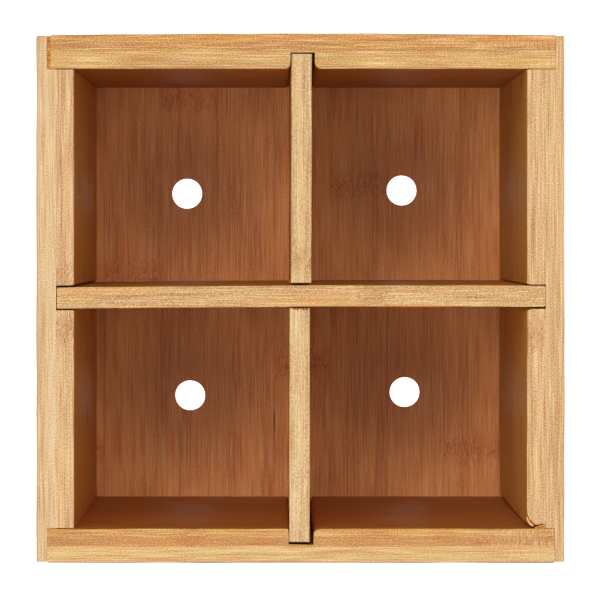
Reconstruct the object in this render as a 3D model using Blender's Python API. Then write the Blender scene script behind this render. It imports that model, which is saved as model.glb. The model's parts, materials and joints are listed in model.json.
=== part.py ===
"""Bamboo umbrella stand: a square box with a drained floor and two lift-out dividers.

Metres, +Z up. The origin is on the ground under the middle of the stand. +X is the right
wall and -Y the front wall. Every wall is laminated from two plies. The side walls run the
full depth and end in thin lips, and the front and back walls sit between those lips. The
dividers stand in grooves that are open at the top, and cross in a half-lap.
"""
import bpy
import bmesh
from math import cos, radians, sin, tau
from mathutils import Vector

# Driving dimensions
WIDTH = 0.220            # outside, left to right
DEPTH = 0.220            # outside, front to back
HEIGHT = 0.450           # ground to rim
GAP = 0.0003             # glue line or clearance between touching pieces
OVERRUN = 0.010          # how far a cutter runs on past the board it cuts
WELD = 0.00001           # points of a turned profile this close are one point

FOOT_HEIGHT = 0.005
FOOT_RADIUS = 0.0070     # against the wall
FOOT_GROUND_RADIUS = 0.0060
FOOT_SIDES = 24
FOOT_X = 0.1005          # centre of a foot from the middle of the stand
FOOT_Y = 0.0996

SIDE_OUTER_T = 0.0080    # plies of the left and right walls
SIDE_INNER_T = 0.0073
END_OUTER_T = 0.0066     # plies of the front and back walls
END_INNER_T = 0.0073
LIP_T = 0.0040           # what the corner rabbet leaves of a side wall

GROOVE_W = 0.0103        # one cutter makes the wall grooves and the half-lap notches
END_GROOVE_DEPTH = 0.0067
SIDE_GROOVE_Y = 0.0007   # middle of the grooves in the side walls
END_GROOVE_X = 0.0004    # middle of the grooves in the end walls
ARRIS = 0.0006           # sanded edges of the boards
ARRIS_SEGMENTS = 2

FLOOR_T = 0.0080
FLOOR_TOP = 0.0250
FLOOR_TONGUE = 0.0040    # how far the floor reaches into the walls

DRAIN_RADIUS = 0.0070
DRAIN_SIDES = 24
DRAIN_X = 0.0503         # half the spacing of the drain holes
DRAIN_Y = 0.0473
DRAIN_SHIFT = (-0.0010, -0.0004)
DRAIN_SKEW = radians(0.86)   # the holes were drilled with the jig a little askew

DIVIDER_T = 0.0089
DIVIDER_LENGTH = 0.2034
DIVIDER_TOP = 0.4495
LENGTHWISE_X = 0.0       # where the front-to-back divider rests in its grooves
CROSSWISE_Y = 0.0009     # where the left-to-right divider rests in its grooves
LAP_Y = 0.0014           # middle of the notch in the front-to-back divider

SCREW_RADIUS = 0.0015
SCREW_HEAD_RADIUS = 0.0032
SCREW_HEAD_T = 0.0018
SCREW_CROWN_RADIUS = 0.0022  # flat of the domed head
SCREW_CROWN_T = 0.0009       # height of the dome
SCREW_LENGTH = 0.0110    # shank only
SCREW_POINT = 0.0025     # length of its taper
SCREW_SIDES = 12
SCREW_RECESS = 0.0024    # depth of the pocket for the head in the foot
POCKET_SIDES = 16
SCREW_BORE = 0.0090      # depth of its hole in the wall

PIN_RADIUS = 0.0008
PIN_SIDES = 8
PIN_LENGTH = 0.0150
PIN_SET = 0.0008         # how deep a pin is set below the face of the lip
PIN_HEIGHTS = {"low": 0.060, "middle": 0.2275, "high": 0.395}

# Worked out from them
HALF_W = WIDTH / 2
HALF_D = DEPTH / 2
SIDE_T = SIDE_OUTER_T + GAP + SIDE_INNER_T
END_T = END_OUTER_T + GAP + END_INNER_T
INSIDE_X = HALF_W - SIDE_T
INSIDE_Y = HALF_D - END_T
WALL_BOTTOM = FOOT_HEIGHT
END_WALL_HALF = HALF_W - LIP_T - GAP
FLOOR_BOTTOM = FLOOR_TOP - FLOOR_T
DIVIDER_BOTTOM = FLOOR_TOP + GAP
LAP_HEIGHT = (DIVIDER_BOTTOM + DIVIDER_TOP) / 2
PIN_Y = INSIDE_Y + END_INNER_T / 2
PIN_MIDDLE = HALF_W - PIN_SET - PIN_LENGTH / 2


def clear_scene():
    for obj in list(bpy.data.objects):
        bpy.data.objects.remove(obj, do_unlink=True)


def make_material(name, colour, roughness, metallic=0.0):
    material = bpy.data.materials.new(name)
    material.use_nodes = True
    shader = material.node_tree.nodes["Principled BSDF"]
    shader.inputs["Base Color"].default_value = (*colour, 1.0)
    shader.inputs["Roughness"].default_value = roughness
    shader.inputs["Metallic"].default_value = metallic
    material.diffuse_color = (*colour, 1.0)
    return material


def link_object(name, bm, location, material=None):
    """Turn a bmesh into an object at a location."""
    mesh = bpy.data.meshes.new(name)
    bm.to_mesh(mesh)
    bm.free()
    obj = bpy.data.objects.new(name, mesh)
    obj.location = location
    if material:
        mesh.materials.append(material)
    bpy.context.scene.collection.objects.link(obj)
    return obj


def box_mesh(size):
    bm = bmesh.new()
    bmesh.ops.create_cube(bm, size=1.0)
    bmesh.ops.scale(bm, vec=size, verts=bm.verts)
    return bm


def make_board(name, low, high, material):
    """A board between two corners, with its arrises sanded."""
    low, high = Vector(low), Vector(high)
    obj = link_object(name, box_mesh(high - low), (low + high) / 2, material)
    bevel = obj.modifiers.new("sanded_arrises", "BEVEL")
    bevel.width = ARRIS
    bevel.segments = ARRIS_SEGMENTS
    return obj


def make_cutter(bm, location):
    cutter = link_object("cutter", bm, location)
    cutter.hide_render = True
    cutter.display_type = "WIRE"
    return cutter


def cut_away(obj, cutter):
    cut = obj.modifiers.new("cut", "BOOLEAN")
    cut.operation = "DIFFERENCE"
    cut.solver = "EXACT"
    cut.object = cutter


def cut_box(obj, low, high):
    low, high = Vector(low), Vector(high)
    cut_away(obj, make_cutter(box_mesh(high - low), (low + high) / 2))


def cylinder_mesh(radius, length, sides, axis="Z", top_radius=None):
    """A cylinder or cone centred on its own middle, along X or Z."""
    bm = bmesh.new()
    if top_radius is None:
        top_radius = radius
    bmesh.ops.create_cone(bm, cap_ends=True, segments=sides, radius1=radius,
                          radius2=top_radius, depth=length)
    if axis == "X":
        for vert in bm.verts:
            vert.co = Vector((vert.co.z, vert.co.x, vert.co.y))
    return bm


def cut_bore(obj, centre, radius, length, sides, axis="Z"):
    cut_away(obj, make_cutter(cylinder_mesh(radius, length, sides, axis), centre))


def make_side_wall(side, label, material):
    """The outer ply with its two lips, and the two boards of the inner ply."""
    face, seam = side * HALF_W, side * (HALF_W - SIDE_OUTER_T)
    outer = make_board(f"wall_{label}_outer",
                       (min(face, seam), -HALF_D, WALL_BOTTOM),
                       (max(face, seam), HALF_D, HEIGHT), material)
    lip = side * (HALF_W - LIP_T)
    beyond = side * (INSIDE_X - OVERRUN)
    for end in (-1, 1):
        shoulder, past = end * (INSIDE_Y - GAP), end * (HALF_D + OVERRUN)
        cut_box(outer,
                (min(lip, beyond), min(shoulder, past), 0.0),
                (max(lip, beyond), max(shoulder, past), HEIGHT + OVERRUN))
        for height in PIN_HEIGHTS.values():
            cut_bore(outer, (face, end * PIN_Y, height), PIN_RADIUS + GAP,
                     2 * (LIP_T + OVERRUN), PIN_SIDES, "X")

    near, far = INSIDE_X, HALF_W - SIDE_OUTER_T - GAP
    groove_front = SIDE_GROOVE_Y - GROOVE_W / 2
    groove_back = SIDE_GROOVE_Y + GROOVE_W / 2
    spans = {"front": (-INSIDE_Y + GAP, groove_front),
             "back": (groove_back, INSIDE_Y - GAP)}
    for place, (start, stop) in spans.items():
        inner = make_board(f"wall_{label}_inner_{place}",
                           (min(side * near, side * far), start, WALL_BOTTOM),
                           (max(side * near, side * far), stop, HEIGHT), material)
        mouth, bottom = side * (near - OVERRUN), side * (near + FLOOR_TONGUE)
        cut_floor_groove(inner, (min(mouth, bottom), -HALF_D), (max(mouth, bottom), HALF_D))


def cut_floor_groove(obj, low, high):
    """The groove for the floor's edge, between two corners seen from above."""
    cut_box(obj, (*low, FLOOR_BOTTOM - GAP), (*high, FLOOR_TOP + GAP))


def make_end_wall(end, label, outer_material, inner_material):
    """The outer ply, and the inner ply with the grooves, pin bores and screw bores."""
    face, seam = end * HALF_D, end * (HALF_D - END_OUTER_T)
    make_board(f"wall_{label}_outer",
               (-END_WALL_HALF, min(face, seam), WALL_BOTTOM),
               (END_WALL_HALF, max(face, seam), HEIGHT), outer_material)

    near, far = end * INSIDE_Y, end * (INSIDE_Y + END_INNER_T)
    inner = make_board(f"wall_{label}_inner",
                       (-END_WALL_HALF, min(near, far), WALL_BOTTOM),
                       (END_WALL_HALF, max(near, far), HEIGHT), inner_material)
    groove_bottom = end * (INSIDE_Y + END_GROOVE_DEPTH)
    mouth = end * (INSIDE_Y - OVERRUN)
    cut_box(inner,
            (END_GROOVE_X - GROOVE_W / 2, min(mouth, groove_bottom), 0.0),
            (END_GROOVE_X + GROOVE_W / 2, max(mouth, groove_bottom), HEIGHT + OVERRUN))
    tongue_end = end * (INSIDE_Y + FLOOR_TONGUE)
    cut_floor_groove(inner, (-HALF_W, min(mouth, tongue_end)), (HALF_W, max(mouth, tongue_end)))
    for side in (-1, 1):
        for height in PIN_HEIGHTS.values():
            cut_bore(inner, (side * PIN_MIDDLE, end * PIN_Y, height),
                     PIN_RADIUS + GAP, PIN_LENGTH + 2 * GAP, PIN_SIDES, "X")
        cut_bore(inner, (side * FOOT_X, end * FOOT_Y, WALL_BOTTOM),
                 SCREW_RADIUS + GAP, 2 * SCREW_BORE, SCREW_SIDES)


def make_floor(material):
    reach_x = INSIDE_X + FLOOR_TONGUE - GAP
    reach_y = INSIDE_Y + FLOOR_TONGUE - GAP
    bm = box_mesh((2 * reach_x, 2 * reach_y, FLOOR_T))
    panel = link_object("floor_panel", bm, (0, 0, FLOOR_TOP - FLOOR_T / 2), material)
    for x, y in drain_centres():
        cut_bore(panel, (x, y, FLOOR_TOP - FLOOR_T / 2), DRAIN_RADIUS,
                 FLOOR_T + 2 * OVERRUN, DRAIN_SIDES)


def drain_centres():
    """The four drain holes: a rectangle turned and shifted a little by the jig."""
    centres = []
    for row in (-1, 1):
        for column in (-1, 1):
            x, y = column * DRAIN_X, row * DRAIN_Y
            centres.append((x * cos(DRAIN_SKEW) - y * sin(DRAIN_SKEW) + DRAIN_SHIFT[0],
                            x * sin(DRAIN_SKEW) + y * cos(DRAIN_SKEW) + DRAIN_SHIFT[1]))
    return centres


def make_dividers(material):
    """Two boards of one size; the lengthwise one is notched from above, the other from below."""
    half = DIVIDER_LENGTH / 2
    lengthwise = make_board("divider_front_to_back",
                            (LENGTHWISE_X - DIVIDER_T / 2, -half, DIVIDER_BOTTOM),
                            (LENGTHWISE_X + DIVIDER_T / 2, half, DIVIDER_TOP), material)
    cut_box(lengthwise,
            (-DIVIDER_T, LAP_Y - GROOVE_W / 2, LAP_HEIGHT - GAP / 2),
            (DIVIDER_T, LAP_Y + GROOVE_W / 2, HEIGHT + OVERRUN))
    crosswise = make_board("divider_left_to_right",
                           (-half, CROSSWISE_Y - DIVIDER_T / 2, DIVIDER_BOTTOM),
                           (half, CROSSWISE_Y + DIVIDER_T / 2, DIVIDER_TOP), material)
    cut_box(crosswise,
            (LENGTHWISE_X - GROOVE_W / 2, -DIVIDER_T, 0.0),
            (LENGTHWISE_X + GROOVE_W / 2, DIVIDER_T, LAP_HEIGHT + GAP / 2))


def make_foot(side, end, place, rubber, steel):
    """A rubber foot with a pocket for the screw head, and its pan-head screw."""
    height = FOOT_HEIGHT - GAP
    foot = link_object(f"foot_{place}",
                       cylinder_mesh(FOOT_GROUND_RADIUS, height, FOOT_SIDES,
                                     top_radius=FOOT_RADIUS),
                       (side * FOOT_X, end * FOOT_Y, height / 2), rubber)
    cut_bore(foot, (side * FOOT_X, end * FOOT_Y, 0.0),
             SCREW_HEAD_RADIUS + GAP, 2 * SCREW_RECESS, POCKET_SIDES)
    cut_bore(foot, (side * FOOT_X, end * FOOT_Y, FOOT_HEIGHT / 2),
             SCREW_RADIUS + GAP, 2 * FOOT_HEIGHT, SCREW_SIDES)

    bm = bmesh.new()
    seat = SCREW_RECESS - GAP
    head_low = seat - SCREW_HEAD_T
    profile = [(0, head_low),
               (SCREW_CROWN_RADIUS, head_low),
               (SCREW_HEAD_RADIUS, head_low + SCREW_CROWN_T),
               (SCREW_HEAD_RADIUS, seat),
               (SCREW_RADIUS, seat),
               (SCREW_RADIUS, seat + SCREW_LENGTH - SCREW_POINT),
               (0, seat + SCREW_LENGTH)]
    points = [bm.verts.new((x, 0, z)) for x, z in profile]
    edges = [bm.edges.new(pair) for pair in zip(points, points[1:])]
    bmesh.ops.spin(bm, geom=points + edges, axis=(0, 0, 1), cent=(0, 0, 0),
                   angle=tau, steps=SCREW_SIDES, use_merge=True)
    bmesh.ops.remove_doubles(bm, verts=bm.verts, dist=WELD)
    bmesh.ops.recalc_face_normals(bm, faces=bm.faces)
    link_object(f"foot_screw_{place}", bm, (side * FOOT_X, end * FOOT_Y, 0), steel)


def make_corner_pins(side, end, place, steel):
    """The headless pins that hold one corner's lip to the end of the other wall."""
    for level, height in PIN_HEIGHTS.items():
        link_object(f"corner_pin_{place}_{level}",
                    cylinder_mesh(PIN_RADIUS, PIN_LENGTH, PIN_SIDES, "X"),
                    (side * PIN_MIDDLE, end * PIN_Y, height), steel)


clear_scene()
pale_bamboo = make_material("pale_bamboo", (0.78, 0.54, 0.29), 0.45)
amber_bamboo = make_material("amber_bamboo", (0.66, 0.36, 0.14), 0.45)
floor_bamboo = make_material("floor_bamboo", (0.72, 0.47, 0.24), 0.50)
divider_bamboo = make_material("divider_bamboo", (0.77, 0.52, 0.27), 0.45)
foot_rubber = make_material("foot_rubber", (0.03, 0.03, 0.03), 0.80)
zinc_steel = make_material("zinc_steel", (0.62, 0.62, 0.60), 0.30, 1.0)

make_side_wall(-1, "left", pale_bamboo)
make_side_wall(1, "right", pale_bamboo)
make_end_wall(-1, "front", pale_bamboo, amber_bamboo)
make_end_wall(1, "back", amber_bamboo, pale_bamboo)
make_floor(floor_bamboo)
make_dividers(divider_bamboo)
for end, end_name in ((-1, "front"), (1, "back")):
    for side, side_name in ((-1, "left"), (1, "right")):
        place = f"{end_name}_{side_name}"
        make_foot(side, end, place, foot_rubber, zinc_steel)
        make_corner_pins(side, end, place, zinc_steel)
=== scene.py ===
import json
import random
import bpy
import bmesh
from math import radians, tau
from mathutils import Matrix, Vector, noise


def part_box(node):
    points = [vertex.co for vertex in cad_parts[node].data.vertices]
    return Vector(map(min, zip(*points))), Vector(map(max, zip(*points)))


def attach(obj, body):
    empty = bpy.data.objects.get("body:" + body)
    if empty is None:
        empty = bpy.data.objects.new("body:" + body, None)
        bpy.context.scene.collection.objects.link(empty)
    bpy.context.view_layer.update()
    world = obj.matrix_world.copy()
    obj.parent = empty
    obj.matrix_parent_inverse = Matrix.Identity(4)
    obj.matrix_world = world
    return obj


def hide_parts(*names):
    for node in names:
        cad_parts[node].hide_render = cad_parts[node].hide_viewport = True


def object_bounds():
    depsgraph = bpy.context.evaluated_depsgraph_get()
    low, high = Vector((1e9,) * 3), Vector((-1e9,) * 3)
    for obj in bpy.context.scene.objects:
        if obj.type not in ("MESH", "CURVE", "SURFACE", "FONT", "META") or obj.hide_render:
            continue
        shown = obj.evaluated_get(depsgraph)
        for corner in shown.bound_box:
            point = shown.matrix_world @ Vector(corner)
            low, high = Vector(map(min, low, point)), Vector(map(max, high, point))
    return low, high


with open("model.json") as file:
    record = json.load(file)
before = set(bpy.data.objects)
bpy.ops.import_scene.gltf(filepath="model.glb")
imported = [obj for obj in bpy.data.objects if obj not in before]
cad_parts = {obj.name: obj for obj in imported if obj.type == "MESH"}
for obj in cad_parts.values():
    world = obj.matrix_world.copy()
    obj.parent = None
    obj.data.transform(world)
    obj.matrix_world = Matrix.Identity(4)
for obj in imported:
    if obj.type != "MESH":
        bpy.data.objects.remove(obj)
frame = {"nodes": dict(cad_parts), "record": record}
cad_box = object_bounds()
rim = cad_box[1].z


# Camera: straight down into the mouth of the stand from far above, so that the walls
# taper only a little towards the floor. It hangs a little behind and left of the middle.
camera_drop = 3.39
view_width = 0.250
eye = Vector((-0.0091, 0.0251, rim + camera_drop))
looked_at = Vector((-0.0002, -0.0005, rim))

camera_data = bpy.data.cameras.new("overhead_camera")
camera_data.sensor_width = 36.0
camera_data.lens = camera_data.sensor_width * camera_drop / view_width
camera_data.clip_end = 50.0
camera = bpy.data.objects.new("overhead_camera", camera_data)
ahead = (looked_at - eye).normalized()
across = ahead.cross(Vector((0, 1, 0))).normalized()
facing = Matrix((across, across.cross(ahead), -ahead)).transposed().to_4x4()
camera.matrix_world = Matrix.Translation(eye) @ facing
bpy.context.scene.collection.objects.link(camera)
bpy.context.scene.camera = camera
bpy.context.scene.view_settings.view_transform = "Standard"


# Studio: a pale glowing floor, a plain mat that keeps its glow from under the boards, and a
# panel of light below the drain holes. A narrow and a wide lamp overhead reach down to the
# floor of the stand, and weaker lamps light three of its sides.
def linked(name, data):
    obj = bpy.data.objects.new(name, data)
    bpy.context.scene.collection.objects.link(obj)
    return obj


def glowing_sheet(name, width, height, glow):
    bm = bmesh.new()
    bmesh.ops.create_grid(bm, x_segments=1, y_segments=1, size=width / 2)
    bmesh.ops.translate(bm, vec=(0, 0, height), verts=bm.verts)
    mesh = bpy.data.meshes.new(name)
    bm.to_mesh(mesh)
    bm.free()
    paper = bpy.data.materials.new(name)
    paper.use_nodes = True
    shader = paper.node_tree.nodes["Principled BSDF"]
    shader.inputs["Base Color"].default_value = (0.80, 0.80, 0.80, 1)
    shader.inputs["Roughness"].default_value = 0.9
    shader.inputs["Emission Color"].default_value = (1, 1, 1, 1)
    shader.inputs["Emission Strength"].default_value = glow
    mesh.materials.append(paper)
    linked(name, mesh)


def soft_lamp(name, size, power, place, aim):
    lamp = bpy.data.lights.new(name, "AREA")
    lamp.shape = "DISK"
    lamp.size = size
    lamp.energy = power
    obj = linked(name, lamp)
    obj.location = place
    obj.rotation_euler = (Vector(aim) - Vector(place)).to_track_quat("-Z", "Y").to_euler()
    obj.visible_camera = False


glowing_sheet("studio_floor", 30.0, 0.0, 0.60)
glowing_sheet("shadow_mat", 0.212, 0.0005, 0.0)
glowing_sheet("light_panel", 0.130, 0.001, 1.25)
soft_lamp("overhead_lamp", 1.15, 68.0, (-0.20, 0.24, rim + 3.2), (0, 0, 0.2))
soft_lamp("ceiling_lamp", 3.30, 82.0, (-0.20, 0.05, rim + 3.3), (0, 0, 0.2))
soft_lamp("left_lamp", 1.6, 14.0, (-2.4, -1.6, 1.0), (0, 0, 0.2))
soft_lamp("right_lamp", 1.6, 9.0, (2.6, -1.2, 0.9), (0, 0, 0.2))
soft_lamp("back_lamp", 1.6, 9.0, (0.4, 2.8, 1.0), (0, 0, 0.2))

world = bpy.data.worlds.new("studio_air")
world.use_nodes = True
air = world.node_tree.nodes["Background"]
air.inputs["Color"].default_value = (1.0, 0.99, 0.98, 1)
air.inputs["Strength"].default_value = 0.05
bpy.context.scene.world = world


# Left wall, outer ply: a laminated bamboo board that runs the full depth of the stand. Its
# ends are rabbeted down to thin lips, which lap over the ends of the front and back walls.
def paint(red, green, blue):
    """A colour from a paint chart, 0 to 255, as the light values that a shader takes."""
    return [((value / 255 + 0.055) / 1.055) ** 2.4 for value in (red, green, blue)] + [1]


class Wire:
    """An output of a node in one material. Arithmetic on wires adds Math nodes."""

    def __init__(self, tree, output=None):
        self.tree = tree
        self.output = output

    def node(self, kind, settings=None, values=None, output=0):
        """A new node: its settings first, then the values or links of its sockets."""
        made = self.tree.nodes.new("ShaderNode" + kind)
        for name, value in (settings or {}).items():
            if name == "stops":
                ramp = made.color_ramp.elements
                while len(ramp) < len(value):
                    ramp.new(1.0)
                for stop, (place, colour) in zip(ramp, value):
                    stop.position = place
                    stop.color = colour
            else:
                setattr(made, name, value)
        for name, value in (values or {}).items():
            if isinstance(value, Wire):
                self.tree.links.new(value.output, made.inputs[name])
            else:
                made.inputs[name].default_value = value
        return Wire(self.tree, made.outputs[output])

    def maths(self, operation, first, second):
        return self.node("Math", {"operation": operation}, {0: first, 1: second})

    def __add__(self, other):
        return self.maths("ADD", self, other)

    __radd__ = __add__

    def __sub__(self, other):
        return self.maths("SUBTRACT", self, other)

    def __rsub__(self, other):
        return self.maths("SUBTRACT", other, self)

    def __mul__(self, other):
        return self.maths("MULTIPLY", self, other)

    __rmul__ = __mul__

    def __truediv__(self, other):
        return self.maths("DIVIDE", self, other)

    def __abs__(self):
        return self.maths("ABSOLUTE", self, 0.0)

    def larger(self, other):
        return self.maths("MAXIMUM", self, other)

    def whole(self):
        return self.maths("FLOOR", self, 0.0)

    def folded(self, span):
        """Repeated every span, and centred on zero."""
        return self.node("Math", {"operation": "WRAP"}, {0: self, 1: span / 2, 2: -span / 2})

    def part(self, axis):
        return self.node("SeparateXYZ", None, {0: self}, axis)

    def rise(self, low, high):
        """A smooth step, from 0 at low to 1 at high."""
        return self.node("MapRange", {"interpolation_type": "SMOOTHSTEP"},
                         {"Value": self, "From Min": low, "From Max": high})

    def figure(self, x, y, z, detail=2.0, rough=0.5):
        """Smooth noise over three lengths, from 0 to 1."""
        spot = self.node("CombineXYZ", None, {0: x, 1: y, 2: z})
        return self.node("TexNoise", None,
                         {"Vector": spot, "Scale": 1.0, "Detail": detail, "Roughness": rough})

    def chance(self, seed):
        """A fixed random number, from 0 to 1, for each whole value."""
        spot = self.node("CombineXYZ", None, {0: self, 1: seed, 2: 0.0})
        return self.node("TexWhiteNoise", {"noise_dimensions": "3D"}, {"Vector": spot})

    def ramp(self, *stops):
        return self.node("ValToRGB", {"stops": stops}, {0: self})

    def stained(self, colour, amount):
        """This colour turned towards another one."""
        return self.node("Mix", {"data_type": "RGBA"}, {0: amount, 6: self, 7: colour}, 2)

    def glazed(self, colour, amount):
        """This colour seen through a thin coat of another one."""
        return self.node("Mix", {"data_type": "RGBA", "blend_type": "MULTIPLY"},
                         {0: amount, 6: self, 7: colour}, 2)


def start_finish(name, specular=0.5):
    """A new material, its shader, and the place on the piece: whole, and as x, y and z."""
    material = bpy.data.materials.new(name)
    material.use_nodes = True
    shader = material.node_tree.nodes["Principled BSDF"]
    shader.inputs["Specular IOR Level"].default_value = specular
    place = Wire(material.node_tree).node("TexCoord", None, None, "Object")
    return material, shader, place, *(place.part(axis) for axis in "XYZ")


def feed(shader, socket, wire):
    wire.tree.links.new(wire.output, shader.inputs[socket])


def emboss(shader, height, strength, depth):
    """Bumps as high as the wire says, without moving the surface."""
    bump = height.node("Bump", None, {"Strength": strength, "Distance": depth, "Height": height})
    feed(shader, "Normal", bump)


def bamboo(name, grain, ground, seed, contrast=1.0, veins=0.45, vein_colour=(206, 138, 62),
           knuckle=0.13, sanding=None, blush=None, strip_width=0.0225, flat=False,
           faces=(255, 206, 106), gloss=0.44, top=rim, hole_rings=()):
    """Laminated bamboo, oiled. Its fibres follow the grain axis, and knuckle is where the
    culm's joint crosses the top strip. Faces is the tone of painted light and shade on the
    inner faces, below the board's sanded top. Sanding is (start, stop, strength) of the marks
    across the grain. A blush is (place, half width, strength, colour). The last argument
    holds the middles of darker rings round the drain holes."""
    material, shader, place, x, y, z = start_finish(name, 0.16)
    along, side = (x, y) if grain == "x" else (y, x)

    # Every strip of the lamination has its own tone and its own knuckle. The strips of a flat
    # board lie side by side from its first seam, and the others are stacked below the rim.
    first_seam = -0.5147
    stack = (x - first_seam if flat else rim - z) / strip_width
    strip = stack.whole()
    own = strip.chance(seed)
    offset = own * 5.0 + seed
    joint_spacing, joint_stagger = 0.290, 0.083
    run = (along - knuckle - strip * joint_stagger).folded(joint_spacing)
    knot = 1 - abs(run).rise(0.0010, 0.0095)

    # Near a knuckle the fibres swirl.
    swirl_reach = 0.0042
    swirl = place.figure(along * 190 + offset, side * 420, z * 420, 1.0) - 0.5
    across = side + swirl * knot * swirl_reach
    level = z + swirl * knot * swirl_reach

    # Patterns are scaled in waves a metre, few along the fibres and many across them.
    fibres = place.figure(along * 42 + offset, across * 2000, level * 2000, 1.0, 0.6)
    lines = place.figure(along * 13 + offset, across * 760 + 3, level * 760, 1.0)
    bands = place.figure(along * 7 + offset, across * 230 + 7, level * 230, 1.0)
    specks = place.figure(along * 1900 + 9, side * 2400, z * 2400, 1.0)
    mottle = place.figure(along * 70 + offset, across * 480, level * 480, 1.0)
    clouds = place.figure(along * 36 + seed, side * 110, z * 110, 1.0)
    hues = place.figure(along * 90 + offset, side * 1300 + 5, z * 1300, 1.0)

    cloudiness = 0.62 if flat else 0.14
    figure = (lines * 0.40 + bands * 0.48 + mottle * 0.12 + (own - 0.5) * 0.09
              + (clouds - 0.5) * cloudiness)
    reach = 0.15
    dark = [value * (1 - fade * contrast) for value, fade in zip(ground, (0.10, 0.17, 0.28))]
    pale = [value * (1 + lift * contrast) for value, lift in zip(ground, (0.05, 0.10, 0.20))]
    colour = figure.ramp((0.5 - reach, paint(*dark)), (0.5, paint(*ground)),
                         (0.5 + reach, paint(*pale)))

    # Below the sanded top the inner faces carry painted light and shade, a deep tone that stands
    # in for the light inside the box, and the faces outside are honey coloured. A golden band
    # just inside the top is a painted highlight on the inner arris.
    if faces:
        inside_light_and_shade = figure.ramp((0.38, paint(*[value * 0.93 for value in faces])),
                            (0.62, paint(*[value * 1.04 for value in faces])))
        inside = abs(x).larger(abs(y)).rise(0.0985, 0.0965)
        # Painted highlight: a golden band just below the rim on the inner faces, where the arris
        # catches the light.
        colour = colour.stained(paint(206, 134, 50), z.rise(top - 0.00005, top - 0.00025)
                                * inside * 0.8)
        skin = figure.ramp((0.38, paint(203, 156, 96)), (0.62, paint(228, 184, 122)))
        colour = colour.stained(skin.stained(inside_light_and_shade, inside), z.rise(top - 0.0003, top - 0.0016))

    # Fine fibres, dark and pale, and a speckle of pinkish and yellowish pores.
    colour = colour.glazed(paint(236, 194, 140), fibres.rise(0.50, 0.72) * 0.95 * contrast)
    colour = colour.stained(paint(244, 216, 168), fibres.rise(0.50, 0.28) * 0.45 * contrast)
    colour = colour.glazed(hues.ramp((0.34, paint(255, 240, 238)), (0.5, paint(252, 249, 240)),
                                     (0.66, paint(250, 250, 210))), 1.0 * contrast)
    colour = colour.glazed(paint(222, 186, 132), specks.rise(0.46, 0.70) * contrast)
    colour = colour.stained(paint(240, 212, 164), specks.rise(0.50, 0.28) * 0.45 * contrast)

    # Amber veins, the dots of the knuckles, sanding marks, and darker rings round the drain holes.
    thread = (lines.rise(0.54, 0.64) * bands.rise(0.40, 0.58)
              * (0.3 + fibres.rise(0.56, 0.42) * 0.7))
    colour = colour.stained(paint(*vein_colour), thread * veins)
    dots = place.figure(along * 520, side * 980, z * 980, 1.0).rise(0.56, 0.70)
    colour = colour.glazed(paint(214, 164, 118), knot * (0.35 + dots * 0.65) * 0.8)
    if blush:
        spot, half, strength, red = blush
        near = 1 - abs(side - spot).rise(half * 0.5, half)
        dashes = place.figure(along * 1500, side * 1700, z * 1700, 1.0).rise(0.40, 0.62)
        colour = colour.stained(paint(*red), near * (0.25 + dashes * 0.75) * strength)
    if sanding:
        start, stop, strength = sanding
        cuts = place.figure(along * 1700, side * 260, z * 260, 1.0).rise(0.42, 0.66)
        where = along.rise(start, stop) * mottle.rise(0.30, 0.55)
        colour = colour.stained(paint(226, 190, 146), cuts * where * strength)
    for spot_x, spot_y in hole_rings:
        far = place.node("VectorMath", {"operation": "DISTANCE"},
                         {0: place, 1: (spot_x, spot_y, floor_high.z)}, "Value")
        ring_darkening = (1 - far.rise(0.010, 0.050)) * (0.55 + clouds * 0.9)
        colour = colour.glazed(paint(208, 196, 184), ring_darkening)

    # Glue lines between strips. In an upright board none falls on the rim. The left and front
    # outer edges of the rim carry painted shade, dark where their rounded edge turns from the
    # light.
    seam = abs(stack.folded(1.0)) if flat else abs((stack + 0.5).folded(1.0))
    seam_strength = 0.25 if flat else 0.6
    colour = colour.glazed(paint(196, 150, 104), (1 - seam.rise(0.004, 0.020)) * seam_strength)
    painted_edge_shade = (0 - x).rise(0.1095, 0.1100) + (0 - y).rise(0.1095, 0.1100)
    colour = colour.glazed(paint(150, 122, 104),
                           painted_edge_shade * z.rise(top - 0.0016, top - 0.0006) * 0.9)

    feed(shader, "Base Color", colour)
    feed(shader, "Roughness", (fibres - 0.5) * 0.20 + (specks - 0.5) * 0.16 + gloss)
    emboss(shader, fibres * 0.55 + lines * 0.25 + specks * 0.20, 0.25, 0.0003)
    return material


def saw_board(corners, bottom, top, rounded=()):
    """A board sawn to an outline, seen from above, and as high as a wall. A rounded corner
    is the corner's number and its radius."""
    bm = bmesh.new()
    points = [bm.verts.new((x, y, bottom)) for x, y in corners]
    bm.faces.new(points)
    for number, radius in rounded:
        bmesh.ops.bevel(bm, geom=[points[number]], offset=radius, segments=6, profile=0.5,
                        affect="VERTICES", material=-1)
    drawn = bmesh.ops.extrude_face_region(bm, geom=bm.faces[:])["geom"]
    bmesh.ops.translate(bm, vec=(0, 0, top - bottom),
                        verts=[part for part in drawn if isinstance(part, bmesh.types.BMVert)])
    bmesh.ops.recalc_face_normals(bm, faces=bm.faces)
    return bm


def ease(bm, exposed, radius=0.0005):
    """Sand the edges whose middles pass a test."""
    edges = [edge for edge in bm.edges
             if exposed((edge.verts[0].co + edge.verts[1].co) / 2)]
    bmesh.ops.bevel(bm, geom=edges, offset=radius, segments=3, profile=0.5, affect="EDGES",
                    material=-1)


def section(bm, axis, places):
    """Rings of edges round a board, so that it can be bent there."""
    for place in places:
        bmesh.ops.bisect_plane(bm, geom=bm.verts[:] + bm.edges[:] + bm.faces[:],
                               plane_co=axis * place, plane_no=axis)


def steps(start, stop, count):
    """The middles of a number of equal steps."""
    return [start + (stop - start) * (i + 0.5) / count for i in range(count)]


sanded_height, waves_a_metre, wave_height = 0.02, 55, 0.00016
noise.seed_set(3)  # left to itself, noise_vector is seeded from the clock


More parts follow.
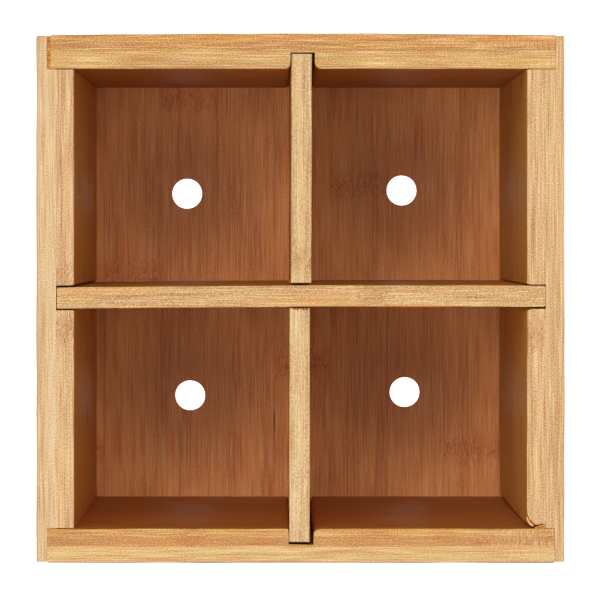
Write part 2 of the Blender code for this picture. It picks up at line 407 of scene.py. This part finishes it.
def bend(bm, push=lambda spot: (0, 0, 0)):
    """Shift a board's points, and leave a little unevenness from sanding at the rim."""
    for vert in bm.verts:
        near_rim = max(0.0, 1 - (rim - vert.co.z) / sanded_height)
        uneven = noise.noise_vector(vert.co * waves_a_metre) * wave_height * near_rim
        vert.co += Vector(push(vert.co)) + Vector((uneven.x, uneven.y, 0))


def cut(obj, bm):
    """Take a cutter away from a piece for good."""
    mesh = bpy.data.meshes.new("cutter")
    bm.to_mesh(mesh)
    bm.free()
    cutter = linked("cutter", mesh)
    saw = obj.modifiers.new("saw", "BOOLEAN")
    saw.operation = "DIFFERENCE"
    saw.solver = "EXACT"
    saw.object = cutter
    bpy.context.view_layer.update()
    sawn = obj.evaluated_get(bpy.context.evaluated_depsgraph_get())
    done = bpy.data.meshes.new_from_object(sawn)
    obj.modifiers.remove(saw)
    obj.data = done
    bpy.data.objects.remove(cutter)


def finished(name, bm, material, slot, *nodes, body="box"):
    """A piece in its finish, riding on its body and standing for its CAD nodes."""
    mesh = bpy.data.meshes.new(name)
    bm.to_mesh(mesh)
    bm.free()
    mesh.materials.append(material)
    obj = linked(name, mesh)
    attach(obj, body)
    if nodes:
        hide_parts(*nodes)
    return obj


ACROSS, ALONG, UP = Vector((1, 0, 0)), Vector((0, 1, 0)), Vector((0, 0, 1))
glue_line = 0.00001
low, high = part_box("wall_left_outer")
left_seam = -0.10185
wall_foot, left_face = low.z, low.x
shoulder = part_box("wall_left_inner_back")[1].y
left_lip = left_face + 0.0043
lip_back, lip_front = 0.1097, -0.1096
same_face, end_grain = 0.0001, 0.1092
bm = saw_board([(left_face, lip_front), (left_lip, lip_front), (left_lip, -shoulder),
                (left_seam, -shoulder), (left_seam, shoulder), (left_lip, shoulder),
                (left_lip, lip_back), (left_face, lip_back)], wall_foot, rim)
ease(bm, lambda spot: spot.x < left_face + same_face or abs(spot.y) > end_grain, 0.0003)
section(bm, ALONG, steps(lip_front + 0.002, lip_back - 0.002, 30))
bend(bm)
left_clear = bamboo("bamboo_left_outer", "y", (191, 163, 121), 11, contrast=0.8, veins=0.30)
finished("left_wall_outer_ply", bm, left_clear, "pale_bamboo", "wall_left_outer")


# Left wall, inner ply: two narrower boards glued to the outer ply. The space left between
# them is the groove for the end of a divider, and a saw kerf near the foot holds the floor.
def box_cutter(low, high):
    bm = bmesh.new()
    bmesh.ops.create_cube(bm, size=1.0)
    size = Vector(high) - Vector(low)
    bmesh.ops.scale(bm, vec=size, verts=bm.verts)
    bmesh.ops.translate(bm, vec=Vector(low) + size / 2, verts=bm.verts)
    return bm


floor_low, floor_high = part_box("floor_panel")
kerf_play = 0.0002


def cut_floor_kerf(obj):
    """The groove that the floor's edges sit in, as far as they reach into the walls."""
    bm = box_cutter(floor_low - Vector((kerf_play,) * 3), floor_high + Vector((kerf_play,) * 3))
    cut(obj, bm)


low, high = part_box("wall_left_inner_front")
left_glue_face, left_inside = left_seam + glue_line, high.x
groove_front, groove_back = -0.0048, 0.00555
bm = saw_board([(left_glue_face, -shoulder), (left_inside, -shoulder),
                (left_inside, groove_front), (left_glue_face, groove_front)],
               wall_foot, rim, [(2, 0.0006)])
ease(bm, lambda spot: spot.z > rim - same_face and spot.x > left_inside - 0.0008, 0.00035)
section(bm, ALONG, steps(-shoulder + 0.001, groove_front - 0.001, 14))
bend(bm)
left_streaked = bamboo("bamboo_left_front", "y", (188, 156, 113), 23, knuckle=-0.013)
cut_floor_kerf(finished("left_wall_inner_front_board", bm, left_streaked, "pale_bamboo",
                        "wall_left_inner_front"))

bm = saw_board([(left_glue_face, groove_back), (left_inside, groove_back),
                (left_inside, shoulder), (left_glue_face, shoulder)],
               wall_foot, rim, [(1, 0.0006)])
ease(bm, lambda spot: spot.z > rim - same_face and spot.x > left_inside - 0.0008, 0.00035)
section(bm, ALONG, steps(groove_back + 0.001, shoulder - 0.001, 14))
bend(bm)
left_plain = bamboo("bamboo_left_back", "y", (188, 155, 113), 31, knuckle=0.0082)
cut_floor_kerf(finished("left_wall_inner_back_board", bm, left_plain, "pale_bamboo",
                        "wall_left_inner_back"))


# Right wall: made as the left one is, with a thinner lip. The inner front board was glued up
# with its inner corner torn away, and a splinter of it still stands beside the rim.
low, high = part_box("wall_right_outer")
right_face, right_seam = high.x, 0.1022
right_lip, right_front_lip = right_face - 0.0036, right_face - 0.0040
bm = saw_board([(right_seam, -shoulder), (right_front_lip, -shoulder),
                (right_front_lip, lip_front),
                (right_face, lip_front), (right_face, lip_back),
                (right_lip, lip_back), (right_lip, shoulder), (right_seam, shoulder)],
               wall_foot, rim)
ease(bm, lambda spot: spot.x > right_face - same_face or abs(spot.y) > end_grain, 0.00015)
section(bm, ALONG, steps(lip_front + 0.002, lip_back - 0.002, 30))
bend(bm)
right_clear = bamboo("bamboo_right_outer", "y", (196, 166, 123), 43, contrast=0.9, veins=0.35)
finished("right_wall_outer_ply", bm, right_clear, "pale_bamboo", "wall_right_outer")

right_inside, right_glue_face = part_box("wall_right_inner_front")[0].x, right_seam - glue_line
groove_front, groove_back = -0.0042, 0.0060
torn_from = 0.060
bm = saw_board([(right_inside, -0.0882), (0.0947, -0.0899), (0.0954, -0.0917), (0.0967, -0.0931),
                (0.0977, -0.0939), (0.0982, -0.0943), (0.0987, -0.0940), (0.0992, -0.0942),
                (0.0996, -0.0938), (0.1003, -0.0939), (0.1008, -0.0936), (0.1013, -0.0939),
                (right_glue_face, -0.0940), (right_glue_face, groove_front),
                (right_inside, groove_front)], wall_foot, rim, [(14, 0.0018)])
ease(bm, lambda spot: spot.z > rim - same_face and spot.x < right_inside + 0.0032, 0.0003)
section(bm, ALONG, steps(-0.087, groove_front - 0.002, 14))
section(bm, UP, [rim - torn_from * (1 - i / 5) ** 2 for i in range(5)])


def close_tear(spot):
    """Below the rim the torn corner is whole again."""
    fade = 1 - max(0.0, 1 - (rim - spot.z) / torn_from) ** 2
    if spot.y > -0.0879:
        return (0, 0, 0)
    if spot.x > 0.0979:
        return (0, (-shoulder - spot.y) * fade, 0)
    return ((right_inside + 0.0003 - spot.x) * fade * 0.8, (-shoulder - spot.y) * fade * 0.8, 0)


bend(bm, close_tear)
right_streaked = bamboo("bamboo_right_front", "y", (192, 157, 112), 57, knuckle=-0.0145)
board = finished("right_wall_inner_front_board", bm, right_streaked, "pale_bamboo",
                 "wall_right_inner_front")
cut_floor_kerf(board)

bm = saw_board([(right_inside, groove_back), (right_glue_face, groove_back),
                (right_glue_face, shoulder), (right_inside, shoulder)],
               wall_foot, rim, [(0, 0.0008)])
ease(bm, lambda spot: spot.z > rim - same_face and spot.x < right_inside + 0.0010, 0.00035)
section(bm, ALONG, steps(groove_back + 0.001, shoulder - 0.001, 14))
bend(bm)
right_plain = bamboo("bamboo_right_back", "y", (191, 157, 112), 61)
cut_floor_kerf(finished("right_wall_inner_back_board", bm, right_plain, "pale_bamboo",
                        "wall_right_inner_back"))

bm = saw_board([(0.0942, -0.0909), (0.0944, -0.0926), (0.0954, -0.0941), (0.0966, -0.0950),
                (0.0974, -0.0945), (0.0969, -0.0940), (0.0961, -0.0934), (0.0953, -0.0923),
                (0.0946, -0.0909)],
               rim - 0.019, rim - 0.0003)
for vert in bm.verts:
    vert.co.x += 0.0004 * (rim - vert.co.z) / 0.019
splinter = bamboo("bamboo_splinter", "y", (200, 160, 104), 67, contrast=0.5, veins=0.1)
finished("right_wall_splinter", bm, splinter, "pale_bamboo")


# Front and back walls: two plies each, glued face to face and set between the side walls'
# lips. The inner ply has the groove for a divider's end; the outer ply closes it.
def end_outline(end, left, right, near, far):
    """A board's outline between two planes that are given from the middle of the stand."""
    corners = [(left, end * near), (right, end * near), (right, end * far), (left, end * far)]
    return corners if end > 0 else corners[::-1]


low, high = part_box("wall_back_outer")
end_seam, end_face = low.y, high.y
inside_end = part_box("wall_back_inner")[0].y
groove_depth = 0.0065
joint = 0.00010
back_left_end, back_right_end = -0.1040, right_lip - joint
front_left_end, front_right_end = left_lip + joint, right_front_lip - joint

bm = saw_board(end_outline(1, back_left_end, back_right_end, end_seam, end_face), wall_foot, rim)
ease(bm, lambda spot: spot.y > end_face - same_face, 0.0003)
section(bm, ACROSS, steps(back_left_end, back_right_end, 30))
bend(bm, lambda spot: (0, (0.0005 - 0.0006 * (spot.x / 0.105) ** 2)
                       * (spot.y > end_face - 0.002), 0))
# Painted shade: the back wall's inner face takes a darker tone, as it faces away from the light.
back_inside_painted_shade = (208, 126, 18)
back_amber = bamboo("bamboo_back_outer", "x", (183, 131, 34), 71, faces=back_inside_painted_shade,
                    veins=0.9, vein_colour=(196, 122, 52), sanding=(0.02, 0.09, 0.25))
finished("back_wall_outer_ply", bm, back_amber, "amber_bamboo", "wall_back_outer")

groove_left, groove_right = -0.0042, 0.0060
groove_end = 0.1026
bm = saw_board([(back_left_end, inside_end), (groove_left, inside_end), (groove_left, groove_end),
                (groove_right, groove_end), (groove_right, inside_end),
                (back_right_end, inside_end), (back_right_end, end_seam - glue_line),
                (back_left_end, end_seam - glue_line)],
               wall_foot, rim, [(1, 0.0022), (4, 0.0025)])
ease(bm, lambda spot: spot.z > rim - same_face and spot.y < inside_end + 0.0026, 0.00035)
section(bm, ACROSS, steps(back_left_end, groove_left - 0.003, 14))
section(bm, ACROSS, steps(groove_right + 0.003, back_right_end, 14))
bend(bm)
back_golden = bamboo("bamboo_back_inner", "x", (183, 145, 75), 83, faces=back_inside_painted_shade,
                     contrast=0.9, sanding=(0.02, 0.09, 0.25))
board = finished("back_wall_inner_ply", bm, back_golden, "pale_bamboo", "wall_back_inner")
cut_floor_kerf(board)

bm = saw_board(end_outline(-1, front_left_end, front_right_end, end_seam, end_face),
               wall_foot, rim)
ease(bm, lambda spot: spot.y < -end_face + same_face, 0.0003)
section(bm, ACROSS, steps(front_left_end, front_right_end, 30))
bend(bm)
# Painted light: the front wall's inner face takes a brighter tone, as it faces the light.
front_inside_painted_light = (226, 143, 34)
front_pale = bamboo("bamboo_front_outer", "x", (194, 161, 103), 97, faces=front_inside_painted_light,
                    contrast=0.9, veins=0.30, sanding=(0.070, 0.095, 0.25))
finished("front_wall_outer_ply", bm, front_pale, "pale_bamboo", "wall_front_outer")

groove_left, groove_right = -0.0049, 0.0054
bm = saw_board([(front_left_end, -end_seam + glue_line),
                (front_right_end, -end_seam + glue_line),
                (front_right_end, -inside_end), (groove_right, -inside_end),
                (groove_right, -0.1026), (groove_left, -0.1023),
                (groove_left, -inside_end), (front_left_end, -inside_end)],
               wall_foot, rim, [(3, 0.0025), (6, 0.0010)])
ease(bm, lambda spot: spot.z > rim - same_face and spot.y > -inside_end - 0.0026, 0.00035)
section(bm, ACROSS, steps(front_left_end, groove_left - 0.002, 14))
section(bm, ACROSS, steps(groove_right + 0.003, front_right_end, 14))
bend(bm)
front_ruddy = bamboo("bamboo_front_inner", "x", (186, 137, 50), 101, faces=front_inside_painted_light,
                     veins=0.5, knuckle=-0.045, sanding=(0.060, 0.095, 0.42),
                     blush=(-0.1009, 0.0026, 0.80, (158, 92, 44)))
board = finished("front_wall_inner_ply", bm, front_ruddy, "amber_bamboo", "wall_front_inner")
cut_floor_kerf(board)


# Corner glue: each corner of the box is glued in an L, along the lip and in under the side
# wall's shoulder. At the back left the board was short, and glue fills a broad gap.
glue, shader, place, x, y, z = start_finish("corner_glue", 0.1)
crumbs = place.figure(x * 900, y * 900, z * 600, 3.0, 0.6)
feed(shader, "Base Color", crumbs.ramp((0.38, paint(146, 86, 22)), (0.50, paint(170, 106, 36)),
                                       (0.64, paint(198, 144, 74))))
feed(shader, "Roughness", crumbs * 0.3 + 0.40)
emboss(shader, crumbs, 0.5, 0.0003)

set_back = 0.0002
corner_glue = {
    "back_left": [(left_lip, shoulder), (-0.1023, shoulder), (-0.1023, inside_end),
                  (back_left_end, inside_end), (back_left_end, lip_back - set_back),
                  (left_lip, lip_back - set_back)],
    "back_right": [(right_lip, shoulder), (right_lip, lip_back - set_back),
                   (back_right_end, lip_back - set_back), (back_right_end, inside_end),
                   (0.0966, inside_end), (0.0966, shoulder)],
    "front_left": [(left_lip, -shoulder), (left_lip, lip_front + set_back),
                   (front_left_end, lip_front + set_back), (front_left_end, -inside_end),
                   (-0.1020, -inside_end), (-0.1020, -shoulder)],
    "front_right": [(right_front_lip, -shoulder), (0.1016, -shoulder), (0.1016, -inside_end),
                    (front_right_end, -inside_end), (front_right_end, lip_front + set_back),
                    (right_front_lip, lip_front + set_back)],
}

# The torn corner was stuck down with a broken wedge of glue, which left an open crack.
wedge = [(0.0970, -0.0958), (0.1021, -0.0958), (0.1021, -0.0940), (0.1013, -0.0940),
         (0.1003, -0.0943), (0.0997, -0.0942), (0.0990, -0.0946), (0.0979, -0.0950)]
bm = saw_board(wedge, rim - 0.003, rim - 0.0001)
finished("glue_wedge", bm, glue, "amber_bamboo")

for corner, outline in corner_glue.items():
    bm = saw_board(outline, wall_foot + set_back, rim - 0.00015)
    finished("glue_" + corner, bm, glue, "amber_bamboo")


# Floor: one wide panel of darker bamboo, held in the kerfs of the walls. Four drain holes
# let water run out, bored from above with a jig and sanded at their rims.
hole_ease = 0.00035
drains = [hole for hole in frame["record"]["physics"]["openings"] if "drain" in hole["name"]]
hole_middles = [(Vector(hole["box_m"][0]) + Vector(hole["box_m"][1])) / 2 for hole in drains]
floor_grain = bamboo("bamboo_floor", "y", (229, 150, 77), 113, contrast=0.80, veins=0.15,
                     flat=True, strip_width=0.0265, gloss=0.5, faces=None,
                     hole_rings=[middle.to_2d() for middle in hole_middles])
bm = box_cutter(floor_low, floor_high)
panel = finished("floor_board", bm, floor_grain, "floor_bamboo", "floor_panel")


def turned(profile, sides):
    """A profile of (radius, height) points turned on the Z axis."""
    bm = bmesh.new()
    points = [bm.verts.new((radius, 0, height)) for radius, height in profile]
    edges = [bm.edges.new(pair) for pair in zip(points, points[1:])]
    bmesh.ops.spin(bm, geom=points + edges, axis=UP, cent=(0, 0, 0), angle=tau, steps=sides,
                   use_merge=True)
    bmesh.ops.remove_doubles(bm, verts=bm.verts, dist=0.000002)
    bmesh.ops.recalc_face_normals(bm, faces=bm.faces)
    return bm


drain_radius = 0.0070
past = 0.001
for middle in hole_middles:
    bm = turned([(0, floor_low.z - past), (drain_radius + hole_ease + past, floor_low.z - past),
                 (drain_radius, floor_low.z + hole_ease), (drain_radius, floor_high.z - hole_ease),
                 (drain_radius + hole_ease + past, floor_high.z + past), (0, floor_high.z + past)],
                72)
    bmesh.ops.translate(bm, vec=(middle.x, middle.y, 0), verts=bm.verts)
    cut(panel, bm)

# The panel has dried a little, and one of its strips has opened in a short crack. A near-black
# fill inside it is painted shade for the crack's depth.
def crack_outline(play):
    """The crack seen from above, narrower by the play, and shorter in the same proportion."""
    x, front, middle, back = -0.0112, -0.0730, -0.0590, -0.0520
    return [(x, front + play * 20), (x + 0.00032 - play, middle), (x, back - play * 20),
            (x - 0.00030 + play, middle)]


crack_depth = 0.0030
cut(panel, saw_board(crack_outline(0.0), floor_high.z - crack_depth, floor_high.z + past))

# Painted shade: the fill's dark colour stands in for the shade down inside the crack.
dark_fill, shader, place, x, y, z = start_finish("crack_painted_shade", 0.1)
fill_grain = place.figure(x * 3000, y * 900, z * 900, 2.0, 0.6)
feed(shader, "Base Color", fill_grain.ramp((0.35, paint(34, 20, 12)), (0.65, paint(66, 42, 26))))
feed(shader, "Roughness", fill_grain * 0.2 + 0.75)
fill_foot, fill_top = floor_high.z - crack_depth + 0.0001, floor_high.z - 0.0004
finished("crack_painted_shade", saw_board(crack_outline(0.00002), fill_foot, fill_top), dark_fill,
         "floor_bamboo")


# Corner pins: three headless steel brads in each corner, shot through the lip into the end
# of the front or back wall and set below the surface. Wood filler closes their holes.
steel, shader, place, x, y, z = start_finish("zinc_plate")
bloom = place.figure(x * 700, y * 700, z * 700, 3.0, 0.6)
feed(shader, "Base Color", bloom.ramp((0.35, paint(168, 168, 164)), (0.65, paint(214, 213, 208))))
feed(shader, "Roughness", bloom * 0.35 + 0.18)
shader.inputs["Metallic"].default_value = 1.0

filler, shader, place, x, y, z = start_finish("wood_filler")
grit = place.figure(x * 3800, y * 3800, z * 3800, 2.0, 0.6)
feed(shader, "Base Color", grit.ramp((0.36, paint(206, 160, 104)), (0.64, paint(232, 196, 144))))
feed(shader, "Roughness", grit * 0.3 + 0.5)
pin_sides, pin_play = 16, 0.00005


def along_x(bm, side, spot):
    """Lay a turned piece on its side, with its top facing out of the side wall."""
    turn = Matrix.Rotation(radians(90) * side, 4, "Y")
    bmesh.ops.transform(bm, matrix=Matrix.Translation(spot) @ turn, verts=bm.verts)
    return bm


for name in frame["nodes"]:
    if not name.startswith("corner_pin"):
        continue
    low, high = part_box(name)
    middle = (low + high) / 2
    side = 1 if middle.x > 0 else -1
    radius, length = (high.z - low.z) / 2, high.x - low.x
    face = right_face if side > 0 else left_face
    depth = abs(face - (high.x if side > 0 else low.x))
    wall = "right" if side > 0 else "left"
    end_wall = "back" if middle.y > 0 else "front"
    bore = radius + pin_play
    for board in (f"{wall}_wall_outer_ply", f"{end_wall}_wall_inner_ply"):
        bm = turned([(0, -length - depth), (bore, -length - depth), (bore, 0.001),
                     (0, 0.001)], pin_sides)
        cut(bpy.data.objects[board], along_x(bm, side, (face, middle.y, middle.z)))
    bm = turned([(0, -length - depth + 0.0002), (0.0003, -length - depth + 0.0008),
                 (radius * 0.94, -length - depth + 0.0022), (radius, -length - depth + 0.0024),
                 (radius, -depth - 0.0001), (radius * 0.8, -depth), (0, -depth)], pin_sides)
    finished("steel_" + name, along_x(bm, side, (face, middle.y, middle.z)), steel,
             "zinc_steel", name)
    bm = turned([(0, -depth + pin_play), (bore, -depth + pin_play), (bore, -0.00003),
                 (radius * 0.7, 0.00003), (0, 0.00005)], pin_sides)
    finished("filler_" + name.removeprefix("corner_"),
             along_x(bm, side, (face, middle.y, middle.z)), filler, "pale_bamboo")


# Feet: black rubber bumpers, moulded with a pocket for the screw's head and a dished rim,
# so that the stand doesn't rock or mark a floor. A pan-head screw holds each from below.
rubber, shader, place, x, y, z = start_finish("black_rubber")
skin = place.figure(x * 2600, y * 2600, z * 2600, 2.0, 0.6)
feed(shader, "Base Color", skin.ramp((0.35, paint(30, 30, 31)), (0.70, paint(52, 51, 50))))
feed(shader, "Roughness", skin * 0.2 + 0.62)
emboss(shader, skin, 0.3, 0.0001)


def smooth(obj, angle=35):
    obj.data.shade_smooth()
    obj.data.set_sharp_from_angle(angle=radians(angle))


pocket_radius, pocket_depth, shank_radius = 0.0035, 0.0024, 0.0016
head_radius, head_height, screw_shank = 0.0032, 0.0018, 0.0013
for name in frame["nodes"]:
    if not name.startswith("foot_") or "screw" in name:
        continue
    low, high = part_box(name)
    middle = (low + high) / 2
    wide, tall = (high.x - low.x) / 2, high.z
    narrow = wide - 0.0010
    bm = turned([(shank_radius, pocket_depth), (pocket_radius, pocket_depth),
                 (pocket_radius, 0.0003), (pocket_radius + 0.0003, 0.0), (narrow - 0.0008, 0.0),
                 (narrow - 0.0002, 0.00025), (narrow + 0.0001, 0.0008),
                 (wide - 0.0005, tall - 0.0012), (wide, tall - 0.0008), (wide, tall - 0.0001),
                 (wide - 0.0001, tall), (shank_radius, tall), (shank_radius, pocket_depth)], 64)
    bmesh.ops.translate(bm, vec=(middle.x, middle.y, 0), verts=bm.verts)
    foot = finished("rubber_" + name, bm, rubber, "foot_rubber", name)
    smooth(foot)

    screw_node = name.replace("foot_", "foot_screw_")
    screw_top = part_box(screw_node)[1].z
    seat = pocket_depth - 0.0001
    head_low = seat - head_height
    bore = turned([(0, 0), (shank_radius, 0), (shank_radius, screw_top + 0.0006),
                   (0, screw_top + 0.0010)], 24)
    bmesh.ops.translate(bore, vec=(middle.x, middle.y, 0), verts=bore.verts)
    end_wall = "back" if middle.y > 0 else "front"
    cut(bpy.data.objects[f"{end_wall}_wall_inner_ply"], bore)

    bm = turned([(0, head_low), (head_radius * 0.45, head_low + 0.00005),
                 (head_radius * 0.80, head_low + 0.0003), (head_radius * 0.97, head_low + 0.0008),
                 (head_radius, head_low + 0.0013), (head_radius * 0.98, seat), (screw_shank, seat),
                 (screw_shank, screw_top - 0.0030), (0.0002, screw_top - 0.0002),
                 (0, screw_top - 0.0001)], 40)
    thread_low, thread_turns, pitch = seat + 0.0008, 6.5, 0.0011
    ridge = [bm.verts.new(spot) for spot in
             ((screw_shank - 0.0002, 0, thread_low), (0.0016, 0, thread_low + 0.0002),
              (screw_shank - 0.0002, 0, thread_low + 0.0004))]
    rib = bm.faces.new(ridge)
    wound = 20
    bmesh.ops.spin(bm, geom=[rib], axis=UP, cent=(0, 0, 0), angle=tau * thread_turns,
                   dvec=(0, 0, pitch / wound), steps=int(thread_turns * wound))
    bmesh.ops.recalc_face_normals(bm, faces=bm.faces)
    bmesh.ops.translate(bm, vec=(middle.x, middle.y, 0), verts=bm.verts)
    screw = finished("steel_" + screw_node, bm, steel, "zinc_steel", screw_node)
    for quarter in (0, 90):
        recess = box_cutter((-0.0018, -0.0003, head_low - 0.001),
                            (0.0018, 0.0003, head_low + 0.0010))
        turn = Matrix.Rotation(radians(quarter + 20), 4, "Z")
        bmesh.ops.transform(recess, matrix=Matrix.Translation((middle.x, middle.y, 0)) @ turn,
                            verts=recess.verts)
        cut(screw, recess)
    smooth(screw, 30)


# Front-to-back divider: one bamboo board that stands in the end walls' grooves. A half-lap
# notch is sawn down from its top edge, and the two horns beside it have sprung apart.
def saw_upright(outline, thickness, middle, axis):
    """A board sawn to an outline seen from its face: (along, height) points."""
    bm = bmesh.new()
    flat = [(middle - thickness / 2, a, z) if axis == "y" else (a, middle - thickness / 2, z)
            for a, z in outline]
    bm.faces.new([bm.verts.new(spot) for spot in flat])
    drawn = bmesh.ops.extrude_face_region(bm, geom=bm.faces[:])["geom"]
    push = (thickness, 0, 0) if axis == "y" else (0, thickness, 0)
    bmesh.ops.translate(bm, vec=push,
                        verts=[part for part in drawn if isinstance(part, bmesh.types.BMVert)])
    bmesh.ops.recalc_face_normals(bm, faces=bm.faces)
    return bm


low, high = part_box("divider_front_to_back")
divider_foot, divider_top = low.z, high.z
lap = (divider_foot + divider_top) / 2
notch_front, notch_back = -0.0039, 0.0065
front_end, back_end = -0.1014, 0.1021
thickness = 0.0086
horn_spread, skew = 0.00032, 0.0016
bm = saw_upright([(front_end, divider_foot), (back_end, divider_foot), (back_end, divider_top),
                  (notch_back, divider_top), (notch_back, lap), (notch_front, lap),
                  (notch_front, divider_top), (front_end, divider_top)], thickness, 0.0, "y")
ease(bm, lambda spot: spot.z > divider_top - same_face or spot.z < divider_foot + same_face, 0.0003)
section(bm, ALONG, steps(front_end + 0.001, notch_front - 0.001, 12))
section(bm, ALONG, steps(notch_back + 0.001, back_end - 0.001, 12))
section(bm, UP, steps(lap + 0.002, divider_top - 0.002, 8))


def spring_horns(spot):
    """The horns lean apart above the notch, and the whole board stands a little askew."""
    rise = max(0.0, (spot.z - lap) / (divider_top - lap))
    apart = horn_spread * rise ** 1.5 * (1 if spot.y > 0.001 else -1)
    return (apart + skew * spot.y, 0, 0)


bend(bm, spring_horns)
lengthwise_grain = bamboo("bamboo_front_to_back", "y", (191, 166, 124), 127, contrast=0.9,
                          veins=0.6, vein_colour=(200, 146, 76), knuckle=0.017,
                          top=divider_top)
lengthwise = finished("front_to_back_divider", bm, lengthwise_grain, "divider_bamboo",
                      "divider_front_to_back", body="lengthwise_divider")

# The saw tore chips out of the top of the front horn, where it meets the other divider.
chance = random.Random(5)
chips_left, chips_right = -0.0037, 0.0030
bm = box_cutter((chips_left, notch_front - 0.00050, divider_top - 0.0120),
                (chips_right, notch_front + 0.0010, divider_top + 0.0010))
section(bm, ACROSS, steps(chips_left, chips_right, 12))
for vert in bm.verts:
    if vert.co.y < notch_front:
        vert.co.y += chance.uniform(-0.0006, 0.00045)
        vert.co.x += chance.uniform(-0.00012, 0.00012)
cut(lengthwise, bm)


# Left-to-right divider: a board of the same size, notched from below, which drops over the
# other one. It has bowed a little, and its top corners were rounded where it was handled.
low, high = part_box("divider_left_to_right")
left_end, right_end = -0.1016, 0.10212
notch_left, notch_right = -0.00515, 0.00515
thickness = 0.0089
middle = (low.y + high.y) / 2
bm = saw_upright([(left_end, divider_foot), (notch_left, divider_foot), (notch_left, lap),
                  (notch_right, lap), (notch_right, divider_foot), (right_end, divider_foot),
                  (right_end, divider_top), (left_end, divider_top)], thickness, middle, "x")
ease(bm, lambda spot: spot.x > right_end - same_face and abs(spot.y - middle) > 0.004, 0.0009)
ease(bm, lambda spot: spot.x < left_end + same_face and abs(spot.y - middle) > 0.004, 0.0005)
ease(bm, lambda spot: spot.z > divider_top - same_face, 0.00025)
section(bm, ACROSS, steps(left_end + 0.002, notch_left - 0.001, 16))
section(bm, ACROSS, steps(notch_right + 0.001, right_end - 0.002, 16))
bend(bm, lambda spot: (0, 0.0002 + 0.00423 * spot.x - 0.0454 * spot.x ** 2, 0))
crosswise_grain = bamboo("bamboo_left_to_right", "x", (182, 146, 91), 139, contrast=0.95,
                         veins=1.15, vein_colour=(196, 130, 52), knuckle=0.03,
                         top=divider_top)
finished("left_to_right_divider", bm, crosswise_grain, "divider_bamboo",
         "divider_left_to_right", body="crosswise_divider")
